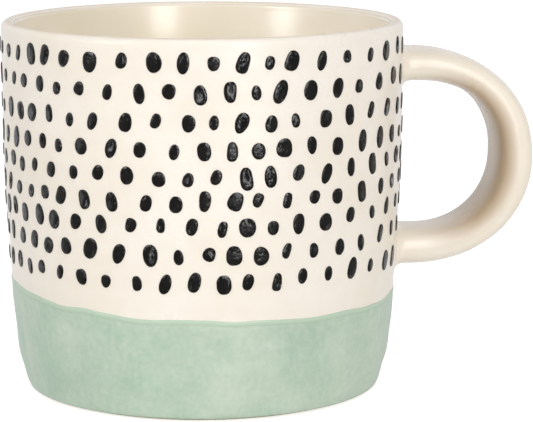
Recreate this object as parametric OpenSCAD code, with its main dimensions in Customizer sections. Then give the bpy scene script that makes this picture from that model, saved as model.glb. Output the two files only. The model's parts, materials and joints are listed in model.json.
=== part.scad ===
// Hand-thrown stoneware mug with a pulled strap handle. The cream glaze covers the
// cup and the handle, a sage glaze covers the foot end up to a dip line, and nine
// staggered rows of raised black slip dots run round the wall.
// Origin: centre of the foot on the cup's axis. +Z is up and the handle is on +X.

/* [Cup] */
// Outside diameter at the rim
rim_d = 95; // [90:1:100]
// Height from the table to the top of the lip
cup_h = 87.5; // [84:0.5:92]
// Outside diameter of the face that rests on the table
foot_d = 81.4; // [78:0.2:84]
// Outside diameter at the top of the turned heel
heel_d = 87.6; // [86:0.2:90]
// Height of the turned heel
heel_h = 8.2; // [6:0.2:10]
// Thickness of the rounded lip
lip_t = 3.2; // [3:0.1:4.6]
// Thickness of the wall just above the floor
low_wall_t = 4.8; // [4:0.1:6]
// Height of the floor inside the cup
floor_z = 6.5; // [5.5:0.1:8]
// Radius of the corner between the floor and the wall inside
floor_corner_r = 11; // [8:0.5:14]

/* [Foot ring] */
// Inside diameter of the ring that rests on the table
foot_in_d = 68; // [60:1:72]
// Depth of the turned recess under the floor
foot_recess = 1.8; // [1:0.1:2.4]

/* [Glaze] */
// Thickness of the cream glaze
glaze_t = 0.35; // [0.25:0.05:0.6]
// How far the sage glaze stands out over the cream glaze
sage_lap = 0.15; // [0.1:0.05:0.3]
// Height of the dip line at the cup's axis
dip_z = 25.4; // [18:0.1:26]
// Lean of the dip line, lower towards the handle
dip_lean = 1.75; // [0:0.05:2.5]
// Tilt of the dip line, lower at the front
dip_tilt = 1.8; // [0:0.1:2.5]

/* [Handle] */
// Height of the middle of the handle
handle_z = 54.2; // [50:0.1:56]
// Reach of the handle's outer outline from the cup's axis
handle_reach = 79.4; // [77:0.1:84]
// Height of the handle's outer outline
handle_h = 51.8; // [50:0.1:54]
// Length of the finger loop from its springing to its far end
loop_reach = 19.2; // [17:0.1:21]
// Height of the finger loop
loop_h = 35.4; // [32:0.1:37]
// How far the loop's middle is above the handle's
loop_rise = 0.5; // [0:0.1:1.5]
// Width of the strap
strap_w = 20; // [14:0.5:22]
// How much the strap's ends flare where they join the wall
strap_flare = 0.05; // [0:0.01:0.1]

/* [Dots] */
// Dots in a full row
dots_per_row = 43; // [36:1:45]
// Usual height of a dot
dot_h = 4.1; // [3:0.05:4.6]
// Usual width of a dot
dot_w = 2.9; // [2.4:0.05:3.4]
// How far a dot stands out from the glaze
dot_relief = 0.25; // [0.15:0.05:0.4]
// Usual lean of a dot's long axis
dot_lean = 6; // [-10:1:15]

/* [Hidden] */
$fn = 96;

clay_colour = "#cdbb9d";
slip_colour = "#d8c7a8";
cream_colour = "#f5eddf";
liner_colour = "#ebdfcc";
sage_colour = "#bfd0bb";
dot_colour = "#262422";

rim_r = rim_d / 2;
foot_r = foot_d / 2;
heel_r = heel_d / 2;
lip_r = lip_t / 2;
foot_in_r = foot_in_d / 2;
inner_low_r = heel_r + 1.2 - low_wall_t;
bare_foot = 0.5;       // clay left bare at the edge of the foot ring
foot_bevel = 2;        // slope from the foot ring's inner edge up to the recess
glaze_start = 0.3;     // where the glaze begins along the heel's curve
spring_x = 50.1;       // where the strap's outer outline turns from straight into its bow
loop_spring_x = 51.2;  // where its inner outline does
bow_power = 2.1;       // how square the bow's outer outline is, 2 for an ellipse
loop_power = 2.25;     // how square its inner outline is
buried_x = 44;         // how far in the strap's ends reach before the wall trims them
section_power = 3;     // how square the strap's section is
strap_sides = 20;
dip_reach = 60;        // half of the slab that stands for the bath of sage glaze

// Depth of each row of dots below the lip, as spaced by eye
row_depths = [5.3, 11.9, 18.6, 24.9, 30.7, 36.3, 42, 48.2, 54.6];
dot_phase = -93.2;     // angle of the first dot of the first row
row_creep = 0.38;      // how far each row creeps on round the cup
crowd_waves = [5, 2];  // places round the cup where the dots crowd together
crowd_shift = [1.45, 1.3];
crowd_angle = [233, 65];
dot_sides = 12;

// ---- curves -------------------------------------------------------------------

function bezier(p, t) = pow(1 - t, 3) * p[0] + 3 * t * pow(1 - t, 2) * p[1]
                      + 3 * t * t * (1 - t) * p[2] + pow(t, 3) * p[3];
function bezier_way(p, t) = pow(1 - t, 2) * (p[1] - p[0]) + 2 * t * (1 - t) * (p[2] - p[1])
                          + t * t * (p[3] - p[2]);
// A point of the curve moved to its left by inset
function bezier_inset(p, t, inset) = let (way = bezier_way(p, t))
    bezier(p, t) + inset * [-way[1], way[0]] / norm(way);
function arc(centre, r, angles) = [for (a = angles) centre + r * [cos(a), sin(a)]];
function reversed(list) = [for (i = [len(list) - 1 : -1 : 0]) list[i]];

// ---- half sections of the cup: radius, height ---------------------------------

heel_curve = [[foot_r, 0], [foot_r + 1.6, 0], [heel_r - 1.4, 2.95], [heel_r, heel_h]];
wall_curve = [[heel_r, heel_h], [heel_r + 1.1, heel_h + 4.2], [rim_r, 35], [rim_r, cup_h - lip_r]];
cavity_curve = [[rim_r - lip_t, cup_h - lip_r], [rim_r - lip_t - 2.8, cup_h - 19],
                [inner_low_r, floor_z + floor_corner_r + 9], [inner_low_r, floor_z + floor_corner_r]];
lip_centre = [rim_r - lip_r, cup_h - lip_r];
floor_corner = [inner_low_r - floor_corner_r, floor_z + floor_corner_r];

// Outside of the cup from the edge of the foot to the top of the lip
function outside(inset) = concat(
    [for (t = [glaze_start, 0.45, 0.6, 0.8]) bezier_inset(heel_curve, t, inset)],
    [for (i = [0 : 12]) bezier_inset(wall_curve, i / 12, inset)],
    arc(lip_centre, lip_r - inset, [22.5, 45, 67.5, 90]));
// Inside of the cup from the top of the lip to the middle of the floor
function inside(inset) = concat(
    arc(lip_centre, lip_r - inset, [90, 112.5, 135, 157.5]),
    [for (i = [0 : 10]) bezier_inset(cavity_curve, i / 10, inset)],
    arc(floor_corner, floor_corner_r + inset, [-15, -30, -45, -60, -75, -90]),
    [[0, floor_z - inset]]);

module coat(outer, inner) {
    rotate_extrude() polygon(concat(outer, reversed(inner)));
}

module outer_skin(proud, inset) {
    coat(outside(-proud), outside(inset));
}

// The cup as if it were solid, to trim what joins its wall
module cup_block() {
    rotate_extrude() polygon(concat([[0, 0], [foot_r, 0]], outside(0), [[0, cup_h]]));
}

// Everything below the surface of the sage glaze's bath
module dip_bath() {
    translate([0, 0, dip_z])
        rotate([dip_tilt, dip_lean, 0])
            translate([-dip_reach, -dip_reach, -dip_reach])
                cube([2 * dip_reach, 2 * dip_reach, dip_reach]);
}

// ---- cup ----------------------------------------------------------------------

module stoneware_body() {
    foot = [[0, foot_recess], [foot_in_r - foot_bevel, foot_recess], [foot_in_r, 0],
            [foot_r - bare_foot, 0]];
    rim = [for (i = [1 : len(inside(glaze_t)) - 1]) inside(glaze_t)[i]];
    color(clay_colour) rotate_extrude() polygon(concat(foot, outside(glaze_t), rim));
}

module liner_glaze() {
    color(liner_colour) coat(inside(0), inside(glaze_t));
}

module cream_glaze() {
    color(cream_colour) difference() {
        outer_skin(0, glaze_t);
        dip_bath();
        joint_plug(upper_joint);
        joint_plug(lower_joint);
    }
}

module sage_dip_glaze() {
    color(sage_colour) intersection() {
        outer_skin(sage_lap, glaze_t);
        dip_bath();
    }
}

// ---- handle -------------------------------------------------------------------

function oval(a, power) = [sign(cos(a)) * pow(abs(cos(a)), 2 / power),
                           sign(sin(a)) * pow(abs(sin(a)), 2 / power)];
// Outer and inner outline of the handle, side on, at angle a up from the bow's middle
function strap_outer(a) = let (o = oval(a, bow_power))
    [spring_x + (handle_reach - spring_x) * o[0], handle_z + handle_h / 2 * o[1]];
function strap_inner(a) = let (o = oval(a, loop_power))
    [loop_spring_x + loop_reach * o[0], handle_z + loop_rise + loop_h / 2 * o[1]];
function strap_mid(a) = (strap_outer(a) + strap_inner(a)) / 2;
function strap_half(a) = (strap_outer(a) - strap_inner(a)) / 2;
function flare(x) = 1 + strap_flare * exp(-pow((x - rim_r) / 1.4, 2));

// One ring of points round the strap: its middle, its half thickness, and its flare
function strap_ring(mid, half, grow, inset) = [for (s = [0 : strap_sides - 1])
    let (o = oval(360 * s / strap_sides, section_power),
         thick = half * (grow - inset / norm(half)),
         wide = strap_w / 2 * grow - inset,
         p = mid + thick * o[0])
    [p[0], wide * o[1], p[1]]];
end_xs = [buried_x, 46.4, 47.2, 47.8, 48.6];
function strap_end(a, xs, inset) = [for (x = xs)
    strap_ring([x, strap_mid(a)[1]], strap_half(a), flare(x), inset)];
function strap_rings(inset) = concat(
    strap_end(90, end_xs, inset),
    [for (a = [90 : -7.5 : -90]) strap_ring(strap_mid(a), strap_half(a), 1, inset)],
    strap_end(-90, reversed(end_xs), inset));

function flat_list(rings) = [for (r = rings) for (p = r) p];
// Two triangles for each quad between rings, which start at point number first
function tube_sides(count, sides, first, out) = [for (i = [0 : count - 2]) for (s = [0 : sides - 1])
    let (a = first + i * sides + s, b = first + i * sides + (s + 1) % sides)
    for (f = out ? [[a, a + sides, b], [b, a + sides, b + sides]]
                 : [[a, b, a + sides], [b, b + sides, a + sides]]) f];

module strap(inset) {
    rings = strap_rings(inset);
    last = (len(rings) - 1) * strap_sides;
    polyhedron(flat_list(rings), concat(
        tube_sides(len(rings), strap_sides, 0, true),
        [[for (s = [0 : strap_sides - 1]) s]],
        [[for (s = [strap_sides - 1 : -1 : 0]) last + s]]));
}

// A thin coat round the strap, open at both of its ends
module strap_coat() {
    outer = strap_rings(0);
    inner = strap_rings(glaze_t);
    n = len(outer);
    first = n * strap_sides;
    last = (n - 1) * strap_sides;
    ends = [for (s = [0 : strap_sides - 1]) let (e = (s + 1) % strap_sides)
        for (f = [[s, e, first + s], [e, first + e, first + s],
                  [last + s, first + last + s, last + e],
                  [last + e, first + last + s, first + last + e]]) f];
    polyhedron(flat_list(concat(outer, inner)), concat(
        tube_sides(n, strap_sides, 0, true),
        tube_sides(n, strap_sides, first, false), ends));
}

module handle() {
    color(slip_colour) difference() {
        strap(glaze_t);
        cup_block();
    }
}

module handle_glaze() {
    color(cream_colour) difference() {
        strap_coat();
        cup_block();
    }
}

upper_joint = strap_mid(90)[1];
lower_joint = strap_mid(-90)[1];

// A plug as wide as the strap, which stands across the wall at height z
module joint_plug(z) {
    half = norm(strap_half(90));
    translate([buried_x - 4, 0, z]) rotate([90, 0, 90]) linear_extrude(10)
        polygon([for (s = [0 : 23]) let (o = oval(15 * s, section_power))
            [(strap_w / 2 - glaze_t) * o[1], (half - glaze_t) * o[0]]]);
}

// Slip that glues an end of the strap to the bare clay through the glaze
module joint_slip(z) {
    color(slip_colour) intersection() {
        outer_skin(0, glaze_t);
        joint_plug(z);
    }
}

// ---- dots ---------------------------------------------------------------------

// A pebble outline with its own uneven edge, more or less square, narrower at one end
function pebble(w, h, lean, seed) = let (trait = rands(-1, 1, 4, seed))
    [for (i = [0 : dot_sides - 1])
        let (a = 360 * i / dot_sides,
             swell = 1 + 0.035 * trait[0] * cos(3 * a + 180 * trait[1])
                       - 0.02 * (1 + trait[2]) * cos(4 * a),
             x = w / 2 * swell * cos(a) * (1 + 0.1 * trait[3] * sin(a)),
             y = h / 2 * swell * sin(a))
        [x * cos(lean) + y * sin(lean), y * cos(lean) - x * sin(lean)]];
function crowding(a, i) = crowd_shift[i] * sin(crowd_waves[i] * a + crowd_angle[i]);
function crowded(a) = a + crowding(a, 0) + crowding(a, 1);
// How far a dot is from the joint at height z, in half sizes of the joint and its margin
function joint_gap(a, z, joint) = max(abs(rim_r * sin(a)) / (strap_w / 2 + 2.6),
                                      abs(z - joint) / (norm(strap_half(90)) + 2.8));
function clear_of_handle(a, z) = cos(a) < 0
    || min(joint_gap(a, z, upper_joint), joint_gap(a, z, lower_joint)) > 1;

module dot_row(row) {
    z = cup_h - row_depths[row - 1];
    pitch = 360 / dots_per_row;
    start = dot_phase + row_creep * (row - 1) - (row % 2 == 0 ? pitch / 2 : 0);
    seed = 100 * row;
    aside = rands(-0.7, 0.7, dots_per_row, seed + 1);
    up = rands(-0.5, 0.5, dots_per_row, seed + 2);
    size = rands(0.76, 1.24, dots_per_row, seed + 3);
    slim = rands(-0.12, 0.12, dots_per_row, seed + 4);
    turn = rands(-16, 16, dots_per_row, seed + 5);
    color(dot_colour) intersection() {
        outer_skin(dot_relief, 0);
        for (i = [0 : dots_per_row - 1]) {
            angle = crowded(start + i * pitch) + aside[i];
            if (clear_of_handle(angle, z))
                rotate([0, 0, angle]) translate([buried_x, 0, z + up[i]])
                    rotate([90, 0, 90]) linear_extrude(6)
                        polygon(pebble(dot_w * size[i] * (1 - slim[i]), dot_h * size[i] * (1 + slim[i]),
                                       dot_lean + turn[i], seed + 10 + i));
        }
    }
}

stoneware_body();
handle();
joint_slip(upper_joint);  // upper_joint_slip
joint_slip(lower_joint);  // lower_joint_slip
liner_glaze();
cream_glaze();
sage_dip_glaze();
handle_glaze();
dot_row(1);  // dot_row_1
dot_row(2);  // dot_row_2
dot_row(3);  // dot_row_3
dot_row(4);  // dot_row_4
dot_row(5);  // dot_row_5
dot_row(6);  // dot_row_6
dot_row(7);  // dot_row_7
dot_row(8);  // dot_row_8
dot_row(9);  // dot_row_9
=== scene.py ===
"""A stoneware mug with a strap handle, a sage dip at its foot and rows of raised black dots.

The cup's coats are drawn up ring by ring like thrown clay, the strap is lofted round its bow,
and the dots are domed up from the frame's own dots.
"""

import bisect
import math

import bmesh
import bpy
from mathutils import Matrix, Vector, noise
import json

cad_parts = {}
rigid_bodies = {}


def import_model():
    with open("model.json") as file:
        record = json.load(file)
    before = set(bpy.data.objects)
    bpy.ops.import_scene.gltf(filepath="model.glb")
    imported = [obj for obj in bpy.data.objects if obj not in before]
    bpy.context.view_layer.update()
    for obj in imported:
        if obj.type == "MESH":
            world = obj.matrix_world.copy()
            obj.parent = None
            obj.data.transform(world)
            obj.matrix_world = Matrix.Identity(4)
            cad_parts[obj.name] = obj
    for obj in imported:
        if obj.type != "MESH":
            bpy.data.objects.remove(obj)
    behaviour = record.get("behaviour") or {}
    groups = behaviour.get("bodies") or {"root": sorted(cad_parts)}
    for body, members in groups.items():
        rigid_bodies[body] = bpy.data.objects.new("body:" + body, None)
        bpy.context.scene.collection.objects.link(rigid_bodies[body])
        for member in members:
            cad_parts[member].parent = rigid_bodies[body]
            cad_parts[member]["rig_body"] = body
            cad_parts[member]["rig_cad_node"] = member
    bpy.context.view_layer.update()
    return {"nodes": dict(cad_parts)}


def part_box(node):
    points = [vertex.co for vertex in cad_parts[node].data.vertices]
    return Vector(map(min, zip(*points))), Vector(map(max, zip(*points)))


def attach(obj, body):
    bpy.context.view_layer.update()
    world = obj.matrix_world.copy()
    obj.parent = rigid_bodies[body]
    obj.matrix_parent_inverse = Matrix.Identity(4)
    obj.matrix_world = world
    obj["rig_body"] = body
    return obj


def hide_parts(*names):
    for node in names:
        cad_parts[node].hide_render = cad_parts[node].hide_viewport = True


MM = 0.001
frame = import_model()

# ---- sizes: from the frame's boxes, and the part's own where a box doesn't tell ------


def reach(node):
    """How far a node's furthest point is from the cup's axis."""
    return max(math.hypot(v.co.x, v.co.y) for v in frame["nodes"][node].data.vertices)


RIM_R = reach("cream_glaze")
CUP_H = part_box("cream_glaze")[1].z
CLAY_R = reach("stoneware_body")
GLAZE_T = RIM_R - CLAY_R
FLOOR_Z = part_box("liner_glaze")[0].z + GLAZE_T
LIP_T = 3.2 * MM
LIP_R = LIP_T / 2
FOOT_R = 40.7 * MM
FOOT_IN_R = 34 * MM
FOOT_BEVEL = 2 * MM
FOOT_RECESS = 1.8 * MM
BARE_FOOT = 0.5 * MM   # clay left bare at the edge of the foot ring
FOOT_ROUND = 0.5 * MM  # rounding of the foot ring's edges
TURNING_MARK = 0.12 * MM
HEEL_R = 43.8 * MM
HEEL_H = 8.2 * MM
GLAZE_START = 0.3      # where the glaze begins along the heel's curve
LOW_WALL_T = 4.8 * MM
FLOOR_CORNER_R = 11 * MM
INNER_LOW_R = HEEL_R + 1.2 * MM - LOW_WALL_T
DIP_Z = 25.4 * MM
DIP_LEAN = math.tan(math.radians(1.75))
DIP_TILT = math.tan(math.radians(1.8))
SAGE_LAP = 0.15 * MM

HANDLE_LOW, HANDLE_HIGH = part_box("handle_glaze")
HANDLE_Z = (HANDLE_LOW.z + HANDLE_HIGH.z) / 2
HANDLE_H = HANDLE_HIGH.z - HANDLE_LOW.z
HANDLE_REACH = HANDLE_HIGH.x
SPRING_X = 50.1 * MM
LOOP_SPRING_X = 51.2 * MM
LOOP_REACH = 19.2 * MM
LOOP_H = 35.4 * MM
LOOP_RISE = 0.5 * MM
STRAP_W = 20 * MM
SECTION_POWER = 3      # how square the strap's section is, 2 for an ellipse
BOW_POWER = 2.1        # how square its outer outline is, side on
LOOP_POWER = 2.25      # how square its inner outline is

DOT_EDGE = 0.13 * MM   # how far a dot's rounded edge comes in

TURNS = 256            # points round the cup
STRAP_SIDES = 48       # points round the strap

# ---- working by hand ---------------------------------------------------------------


def held(value, low=0, high=1):
    return min(max(value, low), high)


def only(piece):
    """Leaves just this piece selected and active."""
    bpy.ops.object.select_all(action="DESELECT")
    piece.select_set(True)
    bpy.context.view_layer.objects.active = piece


def finished(piece, smooth_angle=180):
    """Puts the place into the mesh, points the faces outwards and smooths them."""
    only(piece)
    bpy.ops.object.transform_apply(location=True, rotation=True, scale=True)
    bpy.ops.object.mode_set(mode="EDIT")
    bpy.ops.mesh.select_all(action="SELECT")
    bpy.ops.mesh.remove_doubles(threshold=0.001 * MM)
    bpy.ops.mesh.normals_make_consistent(inside=False)
    bpy.ops.object.mode_set(mode="OBJECT")
    bpy.ops.object.shade_smooth_by_angle(angle=math.radians(smooth_angle))
    return piece


def turned(name, section, closed=True):
    """A half section drawn point to point, then spun round the cup's axis as on a wheel.

    A closed section ends on its first point. An open one starts and ends on the axis.
    """
    bpy.ops.object.select_all(action="DESELECT")
    bpy.ops.mesh.primitive_plane_add(size=MM, location=(section[0][0], 0, section[0][1]))
    piece = bpy.context.object
    piece.name = piece.data.name = name
    bpy.ops.object.transform_apply(location=True)
    bpy.ops.object.mode_set(mode="EDIT")
    bpy.ops.mesh.select_mode(type="VERT")
    bpy.ops.mesh.select_all(action="SELECT")
    bpy.ops.mesh.merge(type="CENTER")
    points = section + section[:1] if closed else section
    for (r, z), (next_r, next_z) in zip(points, points[1:]):
        bpy.ops.mesh.extrude_vertices_move(TRANSFORM_OT_translate={"value": (next_r - r, 0, next_z - z)})
    bpy.ops.mesh.select_all(action="SELECT")
    bpy.ops.mesh.remove_doubles(threshold=0.001 * MM)
    bpy.ops.mesh.spin(steps=TURNS, angle=2 * math.pi, center=(0, 0, 0), axis=(0, 0, 1))
    bpy.ops.object.mode_set(mode="OBJECT")
    return piece


def weigh(piece, name, weight):
    """A vertex group that holds weight(point) for each point of the piece."""
    group = piece.vertex_groups.new(name=name)
    for v in piece.data.vertices:
        w = weight(v.co)
        if w > 0:
            group.add([v.index], min(w, 1), "REPLACE")
    return group.name


def press(piece, group, size, depth):
    """Uneven hollows and swellings of that size, as fingers leave them."""
    only(piece)
    clouds = bpy.data.textures.new(f"{piece.name}_{group}_{size / MM:g}", "CLOUDS")
    clouds.noise_scale = size
    clouds.noise_depth = 1
    dents = piece.modifiers.new("dents", "DISPLACE")
    dents.texture = clouds
    dents.texture_coords = "LOCAL"
    dents.vertex_group = group
    dents.strength = depth
    dents.mid_level = 0.5
    bpy.ops.object.modifier_apply(modifier=dents.name)


# ---- half sections of the cup: radius, height --------------------------------------


def bezier(p, t, inset=0.0):
    """A point of the curve, moved to the curve's left by inset."""
    at = [(1 - t) ** 3 * a + 3 * t * (1 - t) ** 2 * b + 3 * t * t * (1 - t) * c + t ** 3 * d
          for a, b, c, d in zip(*p)]
    way = [(1 - t) ** 2 * (b - a) + 2 * t * (1 - t) * (c - b) + t * t * (d - c)
           for a, b, c, d in zip(*p)]
    size = math.hypot(*way)
    return at[0] - inset * way[1] / size, at[1] + inset * way[0] / size


def arc(centre, r, start, end, count):
    """Points of an arc from start to end, in degrees."""
    angles = [math.radians(start + (end - start) * i / count) for i in range(count + 1)]
    return [(centre[0] + r * math.cos(a), centre[1] + r * math.sin(a)) for a in angles]


HEEL = [(FOOT_R, 0), (FOOT_R + 1.6 * MM, 0), (HEEL_R - 1.4 * MM, 2.95 * MM), (HEEL_R, HEEL_H)]
WALL = [(HEEL_R, HEEL_H), (HEEL_R + 1.1 * MM, HEEL_H + 4.2 * MM), (RIM_R, 35 * MM), (RIM_R, CUP_H - LIP_R)]
CAVITY = [(RIM_R - LIP_T, CUP_H - LIP_R), (RIM_R - LIP_T - 2.8 * MM, CUP_H - 19 * MM),
          (INNER_LOW_R, FLOOR_Z + FLOOR_CORNER_R + 9 * MM), (INNER_LOW_R, FLOOR_Z + FLOOR_CORNER_R)]
LIP_CENTRE = (RIM_R - LIP_R, CUP_H - LIP_R)
FLOOR_CORNER = (INNER_LOW_R - FLOOR_CORNER_R, FLOOR_Z + FLOOR_CORNER_R)
LIP_SEAM = 150         # degrees round the lip where the outer coat meets the liner


def steps(count, start=0.0, end=1.0):
    return [start + (end - start) * i / count for i in range(count + 1)]


def heel_points(inset):
    return [bezier(HEEL, t, inset) for t in steps(12, GLAZE_START, 1)[:-1]]


def wall_points(inset, count=110):
    return [bezier(WALL, t, inset) for t in steps(count)]


WALL_TABLE = [bezier(HEEL, t) for t in steps(60)] + [bezier(WALL, t) for t in steps(300)[1:]]
WALL_HEIGHTS = [z for _, z in WALL_TABLE]


def wall_radius(z):
    """The outside of the cup at height z."""
    i = held(bisect.bisect(WALL_HEIGHTS, z), 1, len(WALL_TABLE) - 1)
    (r0, z0), (r1, z1) = WALL_TABLE[i - 1], WALL_TABLE[i]
    return r0 + (r1 - r0) * held((z - z0) / (z1 - z0))


def lip_points(inset, start, end, count):
    return arc(LIP_CENTRE, LIP_R - inset, start, end, count)


def cavity_points(inset):
    wall = [bezier(CAVITY, t, inset) for t in steps(60)]
    corner = arc(FLOOR_CORNER, FLOOR_CORNER_R + inset, 0, -90, 14)[1:]
    middle = corner[-1][0]
    floor = [(middle * (1 - t), FLOOR_Z - inset) for t in steps(24)[1:]]
    return wall + corner + floor


def dip_line(x, y):
    """Height of the sage glaze's upper edge: the level of its bath, with a hand's unevenness."""
    angle = math.atan2(y, x)
    place = Vector((math.cos(angle), math.sin(angle), 0))
    waver = 0.55 * noise.noise(place * 3.1 + Vector((0, 0, 4.2)))
    waver += 0.35 * noise.noise(place * 7.3 + Vector((0, 0, 9.1)))
    return DIP_Z - DIP_LEAN * x + DIP_TILT * y + waver * MM


def lumps(place, size, seed):
    """Smooth unevenness from -1 to 1 in lumps of about that size."""
    return noise.noise(place / size + Vector((seed, 0, 0)))


def hand_marks(p):
    """How far a maker's hands leave the wall out from its true shape at p.

    The thrown wall swells softly in faint rings. Below the dip line it was pared by hand, so
    it is faceted from top to bottom and dimpled.
    """
    place = Vector((p.x, p.y, 0)).normalized() * RIM_R
    place.z = p.z
    fade = held((CUP_H - 3 * MM - p.z) / (6 * MM))
    thrown = 0.15 * lumps(place, 21 * MM, 0) + 0.05 * lumps(place, 8 * MM, 5)
    thrown += 0.02 * math.sin(2 * math.pi * p.z / (5.3 * MM) + 2 * lumps(place, 30 * MM, 9))
    upright = Vector((place.x, place.y, place.z / 2.4))
    pared = 0.04 + 0.62 * lumps(upright, 10 * MM, 14) + 0.3 * lumps(place, 5 * MM, 20)
    below = held((dip_line(p.x, p.y) - 1.5 * MM - p.z) / (4 * MM))
    foot = held((p.z - 0.6 * MM) / (3 * MM))
    return (thrown * fade * foot + pared * below * foot) * MM


def worked(piece, outer_only=True):
    """Leaves the maker's hand marks in a piece of the wall, or in just its outer side."""
    for v in piece.data.vertices:
        out = math.hypot(v.co.x, v.co.y)
        if not outer_only or out > wall_radius(v.co.z) - 1.5 * MM:
            grow = 1 + hand_marks(v.co) / out
            v.co = (v.co.x * grow, v.co.y * grow, v.co.z)
    return piece


# ---- the cup's pieces --------------------------------------------------------------


def make_cup_clay():
    """The thrown cup in bare clay. Its foot ring and turned recess are all that shows."""
    recess_r = FOOT_IN_R - FOOT_BEVEL
    under = [(recess_r * t, FOOT_RECESS - TURNING_MARK * (i % 2)) for i, t in enumerate(steps(22))]
    ring = arc((FOOT_IN_R + FOOT_ROUND, FOOT_ROUND), FOOT_ROUND, 200, 270, 4)
    ring += arc((FOOT_R - BARE_FOOT - FOOT_ROUND, FOOT_ROUND), FOOT_ROUND, 270, 330, 4)
    coat_seat = heel_points(GLAZE_T) + wall_points(GLAZE_T, 40) + lip_points(GLAZE_T, 15, 165, 10)
    piece = turned("thrown_cup", under + ring + coat_seat + cavity_points(GLAZE_T), closed=False)
    return finished(worked(piece), 50)


def make_cream_coat():
    """The outer coat: from under the sage glaze's edge, up the wall and over the lip."""
    start = 0.35
    outer = [bezier(WALL, t) for t in steps(96, start, 1)] + lip_points(0, 8, LIP_SEAM, 16)
    inner = [bezier(WALL, t, GLAZE_T) for t in steps(24, start, 1)] + lip_points(GLAZE_T, 15, LIP_SEAM, 8)
    return finished(worked(turned("cream_coat", outer + inner[::-1])))


def make_liner_coat():
    """The coat inside, from the lip down to the floor."""
    inner = lip_points(0, LIP_SEAM, 180, 5)[:-1] + cavity_points(0)
    outer = lip_points(GLAZE_T, LIP_SEAM, 180, 5)[:-1] + cavity_points(GLAZE_T)
    return finished(turned("liner_coat", outer[::-1] + inner, closed=False))


def make_sage_coat():
    """The coat over the foot end. Its upper edge wavers and is a soft bead, as dipped glaze dries."""
    bead = [(0, 0.02), (0.12, 0.12), (0.3, 0.18), (0.55, 0.2), (0.8, 0.17), (1, 0.12), (1.15, 0.1),
            (1.4, 0.12), (1.9, 0.15)]
    top = DIP_Z - (bead[-1][0] + 0.3) * MM
    body = [p for p in (bezier(WALL, t, -SAGE_LAP) for t in steps(72, 0, 0.45)) if p[1] < top]
    edge = [(wall_radius(DIP_Z - down * MM) + out * MM, DIP_Z - down * MM) for down, out in bead[::-1]]
    back = [p for p in wall_points(GLAZE_T, 70) if p[1] < DIP_Z - 0.2 * MM]
    back.append((wall_radius(DIP_Z) - GLAZE_T / 2, DIP_Z - 0.05 * MM))
    section = heel_points(-SAGE_LAP) + body + edge + back[::-1] + heel_points(GLAZE_T)[::-1]
    return finished(worked(follow_dip_line(turned("sage_coat", section))))


def follow_dip_line(piece):
    """Slides the coat's points up or down the wall so that its edge follows the dip line."""
    depth = piece.data.attributes.new("below_edge", "FLOAT", "POINT")
    for v in piece.data.vertices:
        share = max((v.co.z - HEEL_H) / (DIP_Z - HEEL_H), 0) ** 0.8
        depth.data[v.index].value = (DIP_Z - v.co.z) / MM
        raised = v.co.z + share * (dip_line(v.co.x, v.co.y) - DIP_Z)
        grow = wall_radius(raised) / wall_radius(v.co.z)
        v.co = (v.co.x * grow, v.co.y * grow, raised)
    return piece


# ---- the handle --------------------------------------------------------------------


def oval(a, power):
    c, s = math.cos(a), math.sin(a)
    return math.copysign(abs(c) ** (2 / power), c), math.copysign(abs(s) ** (2 / power), s)


def strap_section(a):
    """The middle and half thickness of the strap at angle a up from the bow's middle, side on."""
    out, up = oval(a, BOW_POWER)
    outer = Vector((SPRING_X + (HANDLE_REACH - SPRING_X) * out, 0, HANDLE_Z + HANDLE_H / 2 * up))
    out, up = oval(a, LOOP_POWER)
    inner = Vector((LOOP_SPRING_X + LOOP_REACH * out, 0, HANDLE_Z + LOOP_RISE + LOOP_H / 2 * up))
    return (outer + inner) / 2, (outer - inner) / 2


def strap_ring(middle, half, grow=0.0):
    """Points round the strap, its outline moved out by grow."""
    thick = half * (1 + grow / half.length)
    wide = Vector((0, STRAP_W / 2 + grow, 0))
    ring = []
    for s in range(STRAP_SIDES):
        across, along = oval(2 * math.pi * s / STRAP_SIDES, SECTION_POWER)
        ring.append(middle + thick * across + wide * along)
    return ring


def against_wall(point, off):
    """The point moved along X until it is off from the wall."""
    wall = Vector((math.sqrt(wall_radius(point.z) ** 2 - point.y ** 2), point.y, point.z))
    return wall + Vector((off + hand_marks(wall), 0, 0))


def joint_rings(a):
    """Rings from inside the wall out to the spring of the bow, with a soft fillet at the wall."""
    fillet = 2.0 * MM
    middle, half = strap_section(a)
    rings = [[against_wall(p, -1.4 * MM) for p in strap_ring(middle, half, fillet * 0.6)]]
    for off in (-0.15, 0.03, 0.15, 0.4, 0.8, 1.3, 2.0):
        d = min(max(off * MM, 0), fillet)
        grow = fillet - math.sqrt(fillet ** 2 - (fillet - d) ** 2)
        rings.append([against_wall(p, off * MM) for p in strap_ring(middle, half, grow)])
    return rings


def set_ring(piece, ring):
    """Moves the selected ring of points to their places, in order."""
    mesh = bmesh.from_edit_mesh(piece.data)
    chosen = sorted((v for v in mesh.verts if v.select), key=lambda v: v.index)
    for v, place in zip(chosen, ring):
        v.co = place
    bmesh.update_edit_mesh(piece.data)


def paint_loop_shade(piece):
    """Marks where brown shade is painted: the loop's side of the bow, most at its edges."""
    painted_loop_shade = piece.data.attributes.new("painted_loop_shade", "FLOAT", "POINT")
    for v in piece.data.vertices:
        up = (v.co.z - HANDLE_Z) / HANDLE_H
        out = (v.co.x - SPRING_X) / (2 * (HANDLE_REACH - SPRING_X))
        middle, half = strap_section(held(math.atan2(up, out), -math.pi / 2, math.pi / 2))
        across = (v.co - middle).dot(half) / half.length_squared
        along = 2 * abs(v.co.y) / STRAP_W
        bow = held((v.co.x - RIM_R - 4 * MM) / (14 * MM))
        # painted shade: strongest on the loop's side of the bow, where little light reaches
        painted_loop_shade.data[v.index].value = held((0.2 - across) / 0.9) * (0.55 + 0.45 * along) * bow


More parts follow.
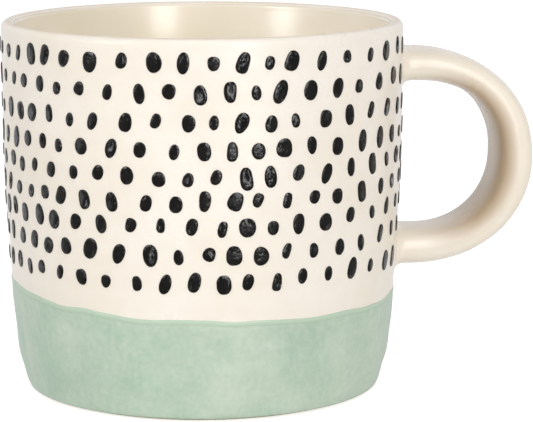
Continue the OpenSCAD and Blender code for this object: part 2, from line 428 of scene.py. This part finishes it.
def make_strap_coat():
    """The glazed strap: a ring of points extruded out of the wall, round the bow and back in."""
    bow = [math.radians(90 - 180 * i / 72) for i in range(73)]
    rings = joint_rings(bow[0]) + [strap_ring(*strap_section(a)) for a in bow] + joint_rings(bow[-1])[::-1]
    bpy.ops.object.select_all(action="DESELECT")
    bpy.ops.mesh.primitive_circle_add(vertices=STRAP_SIDES, radius=STRAP_W / 2, fill_type="NGON")
    piece = bpy.context.object
    piece.name = piece.data.name = "strap_coat"
    bpy.ops.object.mode_set(mode="EDIT")
    bpy.ops.mesh.select_mode(type="EDGE")
    bpy.ops.mesh.select_all(action="SELECT")
    set_ring(piece, rings[0])
    for ring in rings[1:]:
        bpy.ops.mesh.extrude_edges_move(TRANSFORM_OT_translate={"value": (0, 0, 0)})
        set_ring(piece, ring)
    bpy.ops.mesh.edge_face_add()
    bpy.ops.object.mode_set(mode="OBJECT")
    group = weigh(piece, "bow", lambda p: (p.x - RIM_R - 2 * MM) / (6 * MM))
    press(piece, group, 11 * MM, 0.35 * MM)
    paint_loop_shade(piece)
    return finished(piece, 60)


def make_strap_core():
    """The strap's clay, from the frame's own, drawn in a little so that its coat covers it all."""
    only(frame["nodes"]["handle"])
    bpy.ops.object.duplicate()
    piece = bpy.context.object
    piece.name = piece.data.name = "strap_core"
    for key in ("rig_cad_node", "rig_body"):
        del piece[key]
    bpy.ops.object.mode_set(mode="EDIT")
    bpy.ops.mesh.select_all(action="SELECT")
    bpy.ops.mesh.remove_doubles(threshold=0.002 * MM)
    bpy.ops.transform.shrink_fatten(value=-0.3 * MM)
    bpy.ops.object.mode_set(mode="OBJECT")
    return finished(piece, 40)


# ---- the dots ----------------------------------------------------------------------


def outwards(place):
    return Vector((place.x, place.y, 0)).normalized()


def round_outlines(piece):
    """Halves each side of the dots' outlines, and moves the new points out on to a smooth curve.

    A new point lies halfway between its neighbours. Its place on the curve follows from them
    and from the next old points beyond them, by the four-point rule.
    """
    bpy.ops.mesh.select_mode(type="EDGE")
    bpy.ops.mesh.select_all(action="DESELECT")
    mesh = bmesh.from_edit_mesh(piece.data)
    for edge in mesh.edges:
        start, end = (v.co for v in edge.verts)
        edge.select = abs((end - start).normalized().dot(outwards(start))) < 0.7
    bmesh.update_edit_mesh(piece.data)
    bpy.ops.mesh.subdivide(number_cuts=1)
    mesh = bmesh.from_edit_mesh(piece.data)
    for face in mesh.faces:
        if abs(face.normal.dot(outwards(face.calc_center_median()))) > 0.8:
            ring = [v.co.copy() for v in face.verts]
            for i, v in enumerate(face.verts):
                near = (ring[i - 1] + ring[(i + 1) % len(ring)]) / 2
                if (v.co - near).length < 0.001 * MM:
                    far = (ring[i - 3] + ring[(i + 3) % len(ring)]) / 2
                    v.co = near * 1.125 - far * 0.125
    bmesh.update_edit_mesh(piece.data)


def make_dots(row):
    """Raised dots in the place of a row of the frame's flat ones: rounded edges and a domed face."""
    only(frame["nodes"][f"dot_row_{row}"])
    bpy.ops.object.duplicate()
    piece = bpy.context.object
    piece.name = piece.data.name = f"raised_dots_{row}"
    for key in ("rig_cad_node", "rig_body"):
        del piece[key]
    bpy.ops.object.mode_set(mode="EDIT")
    bpy.ops.mesh.select_all(action="SELECT")
    bpy.ops.mesh.remove_doubles(threshold=0.002 * MM)
    bpy.ops.mesh.dissolve_limited(angle_limit=math.radians(12))
    round_outlines(piece)
    bpy.ops.mesh.select_mode(type="FACE")
    mesh = bmesh.from_edit_mesh(piece.data)
    for face in mesh.faces:
        face.select = face.normal.dot(outwards(face.calc_center_median())) > 0.8
    bmesh.update_edit_mesh(piece.data)
    bpy.ops.transform.shrink_fatten(value=-DOT_EDGE)
    bpy.ops.mesh.inset(thickness=DOT_EDGE, depth=0.09 * MM, use_individual=True)
    bpy.ops.mesh.inset(thickness=0.45 * MM, depth=0.06 * MM, use_individual=True)
    bpy.ops.object.mode_set(mode="OBJECT")
    return finished(worked(piece, outer_only=False), 75)


# ---- shader groups -----------------------------------------------------------------


def put(tree, kind, inputs=None, **settings):
    """A shader node with its settings, and its inputs set or linked."""
    made = tree.nodes.new("ShaderNode" + kind)
    for name, value in settings.items():
        setattr(made, name, value)
    for name, value in (inputs or {}).items():
        if isinstance(value, bpy.types.NodeSocket):
            tree.links.new(value, made.inputs[name])
        else:
            made.inputs[name].default_value = value
    return made


def new_group(name, takes, gives):
    """An empty shader group and its ends. takes maps each input to its usual value."""
    tree = bpy.data.node_groups.new(name, "ShaderNodeTree")
    for socket, value in takes.items():
        made = tree.interface.new_socket(socket, in_out="INPUT", socket_type="NodeSocketFloat")
        made.default_value = value
    for socket in gives:
        tree.interface.new_socket(socket, in_out="OUTPUT", socket_type="NodeSocketFloat")
    return tree, tree.nodes.new("NodeGroupInput").outputs, tree.nodes.new("NodeGroupOutput").inputs


def glaze_cloud_group():
    """Soft cloudy patches, as a glaze pools and thins. Sizes are in patches per metre."""
    usual = {"Coarse": 60, "Fine": 400, "Fine share": 0.3}
    tree, given, result = new_group("glaze_clouds", usual, ["Mask"])
    place = put(tree, "TexCoord").outputs["Object"]
    coarse = put(tree, "TexNoise",
                 {"Vector": place, "Scale": given["Coarse"], "Detail": 3, "Roughness": 0.5})
    fine = put(tree, "TexNoise",
               {"Vector": place, "Scale": given["Fine"], "Detail": 4, "Roughness": 0.6})
    both = put(tree, "Mix",
               {"Factor": given["Fine share"], "A": coarse.outputs["Fac"], "B": fine.outputs["Fac"]})
    spread = put(tree, "MapRange", {"Value": both.outputs["Result"], "From Min": 0.36, "From Max": 0.64})
    tree.links.new(spread.outputs["Result"], result["Mask"])
    return tree


def speck_group():
    """Small round specks of iron that bleed through a glaze. Share is how many cells hold one."""
    tree, given, result = new_group("iron_specks", {"Cells": 300, "Size": 0.12, "Share": 0.1}, ["Mask"])
    place = put(tree, "TexCoord").outputs["Object"]
    cells = put(tree, "TexVoronoi", {"Vector": place, "Scale": given["Cells"]})
    kept = put(tree, "SeparateColor", {"Color": cells.outputs["Color"]})
    chosen = put(tree, "Math", {0: kept.outputs["Red"], 1: given["Share"]}, operation="LESS_THAN")
    near = put(tree, "MapRange",
               {"Value": cells.outputs["Distance"], "From Min": given["Size"], "From Max": 0.0})
    both = put(tree, "Math", {0: chosen.outputs[0], 1: near.outputs["Result"]}, operation="MULTIPLY")
    tree.links.new(both.outputs[0], result["Mask"])
    return tree


def glaze_skin_group():
    """The height of a fired glaze: long swells, and a fine orange peel."""
    usual = {"Swell": 0.5, "Peel": 0.1, "Peel scale": 900}
    tree, given, result = new_group("glaze_skin", usual, ["Height"])
    place = put(tree, "TexCoord").outputs["Object"]
    swell = put(tree, "TexNoise", {"Vector": place, "Scale": 110, "Detail": 2})
    peel = put(tree, "TexNoise", {"Vector": place, "Scale": given["Peel scale"], "Detail": 3})
    swelled = put(tree, "Math", {0: swell.outputs["Fac"], 1: given["Swell"]}, operation="MULTIPLY")
    peeled = put(tree, "Math", {0: peel.outputs["Fac"], 1: given["Peel"]}, operation="MULTIPLY")
    height = put(tree, "Math", {0: swelled.outputs[0], 1: peeled.outputs[0]}, operation="ADD")
    tree.links.new(height.outputs[0], result["Height"])
    return tree


CLOUDS = glaze_cloud_group()
SPECKS = speck_group()
SKIN = glaze_skin_group()

# ---- finishes ----------------------------------------------------------------------


def use(tree, group, inputs):
    made = put(tree, "Group", node_tree=group)
    for name, value in inputs.items():
        made.inputs[name].default_value = value
    return made.outputs[0]


def blend_colour(tree, share, a, b):
    mix = put(tree, "Mix", data_type="RGBA")
    for index, value in ((0, share), (6, a), (7, b)):
        if isinstance(value, bpy.types.NodeSocket):
            tree.links.new(value, mix.inputs[index])
        else:
            mix.inputs[index].default_value = value
    return mix.outputs[2]


def srgb(r, g, b):
    """A linear colour from everyday 0 to 255 values."""
    def linear(c):
        c /= 255
        return c / 12.92 if c <= 0.04045 else ((c + 0.055) / 1.055) ** 2.4
    return (linear(r), linear(g), linear(b), 1)


def new_finish(name):
    material = bpy.data.materials.new(name)
    material.use_nodes = True
    tree = material.node_tree
    return material, tree, tree.nodes["Principled BSDF"]


def bump(tree, shader, height, strength, distance):
    made = put(tree, "Bump", {"Height": height, "Strength": strength, "Distance": distance})
    tree.links.new(made.outputs["Normal"], shader.inputs["Normal"])


def glaze(name, colour, thin_colour, cloud, specks, skin, rough):
    """A fired glaze: a clouded colour with iron specks, under a glossy uneven skin."""
    material, tree, shader = new_finish(name)
    clouded = use(tree, CLOUDS, cloud)
    base = blend_colour(tree, clouded, colour, thin_colour)
    speck = use(tree, SPECKS, specks)
    base = blend_colour(tree, speck, base, srgb(176, 156, 128))
    tree.links.new(base, shader.inputs["Base Color"])
    roughness = put(tree, "MapRange", {"Value": clouded, "To Min": rough[0], "To Max": rough[1]})
    tree.links.new(roughness.outputs["Result"], shader.inputs["Roughness"])
    bump(tree, shader, use(tree, SKIN, skin), 0.5, 0.3 * MM)
    return material, tree, shader


def lay_over(tree, shader, share, colour):
    """Lays a colour over the glaze where share says."""
    base = shader.inputs["Base Color"].links[0].from_socket
    tree.links.new(blend_colour(tree, share, base, colour), shader.inputs["Base Color"])


CREAM_CLOUDS = {"Coarse": 45, "Fine": 350, "Fine share": 0.25}
CREAM_SKIN = {"Swell": 0.45, "Peel": 0.05, "Peel scale": 900}


def thin_on_lip(tree, shader):
    """Browns the crest of the lip, where the glaze ran off thin."""
    place = put(tree, "SeparateXYZ", {"Vector": put(tree, "TexCoord").outputs["Object"]})
    thin = put(tree, "MapRange", {"Value": place.outputs["Z"], "From Min": CUP_H - 0.3 * MM,
                                  "From Max": CUP_H - 0.05 * MM, "To Max": 0.6})
    lay_over(tree, shader, thin.outputs["Result"], srgb(214, 194, 168))


def cream_finish():
    """The outer coat, thinner and browner on the crest of the lip."""
    material, tree, shader = glaze(
        "cream_glaze_finish", srgb(241, 233, 222), srgb(235, 226, 211),
        CREAM_CLOUDS, {"Cells": 240, "Size": 0.09, "Share": 0.03}, CREAM_SKIN, (0.26, 0.36))
    shader.inputs["IOR"].default_value = 1.5
    thin_on_lip(tree, shader)
    return material


def strap_finish():
    """The cream glaze again, with brown shade painted inside the bow."""
    material, tree, shader = glaze(
        "strap_glaze_finish", srgb(240, 230, 215), srgb(234, 222, 203),
        CREAM_CLOUDS, {"Cells": 240, "Size": 0.08, "Share": 0.04}, CREAM_SKIN, (0.2, 0.3))
    shader.inputs["IOR"].default_value = 1.5
    painted_loop_shade = put(tree, "Attribute", attribute_name="painted_loop_shade").outputs["Fac"]
    # painted shade: browns the loop's side of the bow
    lay_over(tree, shader, painted_loop_shade, srgb(190, 167, 138))
    return material


def liner_finish():
    """The coat inside, glossier than the outer one."""
    material, _, shader = glaze(
        "liner_glaze_finish", srgb(251, 242, 224), srgb(247, 235, 211),
        {"Coarse": 40, "Fine": 300, "Fine share": 0.2}, {"Cells": 200, "Size": 0.09, "Share": 0.03},
        {"Swell": 0.4, "Peel": 0.03, "Peel scale": 900}, (0.3, 0.4))
    shader.inputs["IOR"].default_value = 1.75
    shader.inputs["Coat Weight"].default_value = 1
    shader.inputs["Coat Roughness"].default_value = 0.19
    return material


def sage_finish():
    """Sage glaze, with an even bead along its edge and painted shade in the groove under the bead."""
    material, tree, shader = glaze(
        "sage_glaze_finish", srgb(170, 192, 171), srgb(194, 207, 189),
        {"Coarse": 75, "Fine": 700, "Fine share": 0.45}, {"Cells": 180, "Size": 0.10, "Share": 0.05},
        {"Swell": 1.1, "Peel": 0.16, "Peel scale": 900}, (0.34, 0.48))
    depth = put(tree, "Attribute", attribute_name="below_edge").outputs["Fac"]
    in_bead = put(tree, "MapRange", {"Value": depth, "From Min": 1.2, "From Max": 0.9, "To Max": 0.75})
    groove = put(tree, "MapRange", {"Value": depth, "From Min": 0.85, "From Max": 1.15})
    groove_end = put(tree, "MapRange", {"Value": depth, "From Min": 1.6, "From Max": 1.2})
    in_groove = put(tree, "Math", {0: groove.outputs["Result"], 1: groove_end.outputs["Result"]},
                    operation="MULTIPLY")
    # painted shade: darkens the groove just under the bead
    painted_groove_shade = put(tree, "Math", {0: in_groove.outputs[0], 1: 0.35}, operation="MULTIPLY")
    lay_over(tree, shader, in_bead.outputs["Result"], srgb(186, 205, 183))
    lay_over(tree, shader, painted_groove_shade.outputs[0], srgb(160, 180, 158))
    return material


def dot_finish():
    """Black slip under clear glaze, with a crazed, wrinkled gloss."""
    material, tree, shader = new_finish("black_slip_finish")
    clouded = use(tree, CLOUDS, {"Coarse": 300, "Fine": 1500, "Fine share": 0.4})
    base = blend_colour(tree, clouded, srgb(13, 12, 11), srgb(24, 22, 20))
    tree.links.new(base, shader.inputs["Base Color"])
    roughness = put(tree, "MapRange", {"Value": clouded, "To Min": 0.12, "To Max": 0.28})
    tree.links.new(roughness.outputs["Result"], shader.inputs["Roughness"])
    shader.inputs["IOR"].default_value = 1.6
    bump(tree, shader, use(tree, SKIN, {"Swell": 0.2, "Peel": 1.0, "Peel scale": 1100}), 0.9, 0.2 * MM)
    return material


def clay_finish():
    """Bare fired stoneware, rough and speckled with grog."""
    material, tree, shader = new_finish("bare_clay_finish")
    clouded = use(tree, CLOUDS, {"Coarse": 90, "Fine": 1200, "Fine share": 0.5})
    base = blend_colour(tree, clouded, srgb(196, 178, 150), srgb(216, 200, 174))
    speck = use(tree, SPECKS, {"Cells": 500, "Size": 0.2, "Share": 0.12})
    base = blend_colour(tree, speck, base, srgb(120, 96, 70))
    tree.links.new(base, shader.inputs["Base Color"])
    shader.inputs["Roughness"].default_value = 0.85
    bump(tree, shader, use(tree, SKIN, {"Swell": 0.3, "Peel": 1.0, "Peel scale": 1800}), 0.6, 0.15 * MM)
    return material


def finish_piece(piece, material, slot, *nodes):
    """Gives a piece its finish, fixes it to the root body and hides the frame nodes it stands for."""
    piece.data.materials.clear()
    piece.data.materials.append(material)
    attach(piece, "root")
    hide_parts(*nodes)


# ---- the stage ---------------------------------------------------------------------


def make_camera():
    """A little above the rim and to the left of the front, with the handle on the right."""
    distance, height = 588.5 * MM, 143.9 * MM
    side, look_right, look_down = math.radians(6), math.radians(1.48), math.radians(9.9)
    data = bpy.data.cameras.new("camera")
    data.sensor_width = 36
    data.lens = 168.15
    camera = bpy.data.objects.new("camera", data)
    camera.location = (-distance * math.sin(side), -distance * math.cos(side), height)
    camera.rotation_euler = (math.pi / 2 - look_down, 0, -side - look_right)
    bpy.context.scene.collection.objects.link(camera)
    bpy.context.scene.camera = camera


def softbox(name, azimuth, height, distance, wide, tall, watts):
    """A soft light at azimuth to the right of the front, turned to the middle of the cup."""
    data = bpy.data.lights.new(name, "AREA")
    data.shape = "RECTANGLE"
    data.size, data.size_y = wide, tall
    data.energy = watts
    lamp = bpy.data.objects.new(name, data)
    a = math.radians(azimuth)
    lamp.location = (distance * math.sin(a), -distance * math.cos(a), height)
    aim = Vector((0, 0, CUP_H / 2)) - lamp.location
    lamp.rotation_euler = aim.to_track_quat("-Z", "Y").to_euler()
    bpy.context.scene.collection.objects.link(lamp)


def make_studio():
    """A pale floor in a bright room, with tall soft lights in front and a wide one overhead.

    The room is brighter behind the cup than in front of it, so the black dots stay dark.
    """
    bpy.ops.object.select_all(action="DESELECT")
    bpy.ops.mesh.primitive_plane_add(size=12, location=(0, 0, 0))
    floor = bpy.context.object
    floor.name = "floor"
    material, tree, shader = new_finish("floor_paper")
    shader.inputs["Base Color"].default_value = (0.86, 0.86, 0.86, 1)
    shader.inputs["Roughness"].default_value = 0.9
    shader.inputs["Emission Color"].default_value = (1, 1, 1, 1)
    seen_white = put(tree, "MapRange", {"Value": put(tree, "LightPath").outputs["Is Camera Ray"],
                                        "To Min": 0.1, "To Max": 0.62})
    tree.links.new(seen_white.outputs["Result"], shader.inputs["Emission Strength"])
    floor.data.materials.append(material)
    floor.visible_glossy = False
    floor.visible_shadow = False

    world = bpy.data.worlds.new("room")
    bpy.context.scene.world = world
    world.use_nodes = True
    room = world.node_tree
    ray = put(room, "LightPath")
    way = put(room, "SeparateXYZ", {"Vector": put(room, "TexCoord").outputs["Generated"]})
    behind = put(room, "MapRange", {"Value": way.outputs["Y"], "From Min": -0.2, "From Max": 0.9},
                 interpolation_type="SMOOTHSTEP")
    seen_in_gloss = blend_colour(room, behind.outputs["Result"],
                                 (0.14, 0.14, 0.14, 1), (0.9, 0.91, 0.94, 1))
    around = blend_colour(room, ray.outputs["Is Glossy Ray"], (0.45, 0.45, 0.46, 1), seen_in_gloss)
    seen = blend_colour(room, ray.outputs["Is Camera Ray"], around, (1, 1, 1, 1))
    room.links.new(seen, room.nodes["Background"].inputs["Color"])

    softbox("key_softbox", azimuth=19, height=0.45, distance=1.3, wide=0.36, tall=1.3, watts=8.3)
    softbox("left_softbox", azimuth=-61, height=0.62, distance=1.3, wide=0.36, tall=0.85, watts=5.6)
    softbox("top_softbox", azimuth=0, height=1.6, distance=0.5, wide=1.2, tall=1.2, watts=5)
    bpy.context.scene.view_settings.view_transform = "Standard"


# ---- assembly ----------------------------------------------------------------------

make_camera()
make_studio()

BLACK = dot_finish()
CLAY = clay_finish()
finish_piece(make_cup_clay(), CLAY, "bare_clay", "stoneware_body")
finish_piece(make_cream_coat(), cream_finish(), "cream_glaze", "cream_glaze")
finish_piece(make_liner_coat(), liner_finish(), "liner_glaze", "liner_glaze")
finish_piece(make_sage_coat(), sage_finish(), "sage_glaze", "sage_dip_glaze")
finish_piece(make_strap_core(), CLAY, "handle_clay", "handle")
finish_piece(make_strap_coat(), strap_finish(), "cream_glaze", "handle_glaze")
for row in range(1, 10):
    finish_piece(make_dots(row), BLACK, "black_slip", f"dot_row_{row}")
for name in ("upper_joint_slip", "lower_joint_slip"):
    slip = frame["nodes"][name]
    slip.data.materials.clear()
    slip.data.materials.append(CLAY)
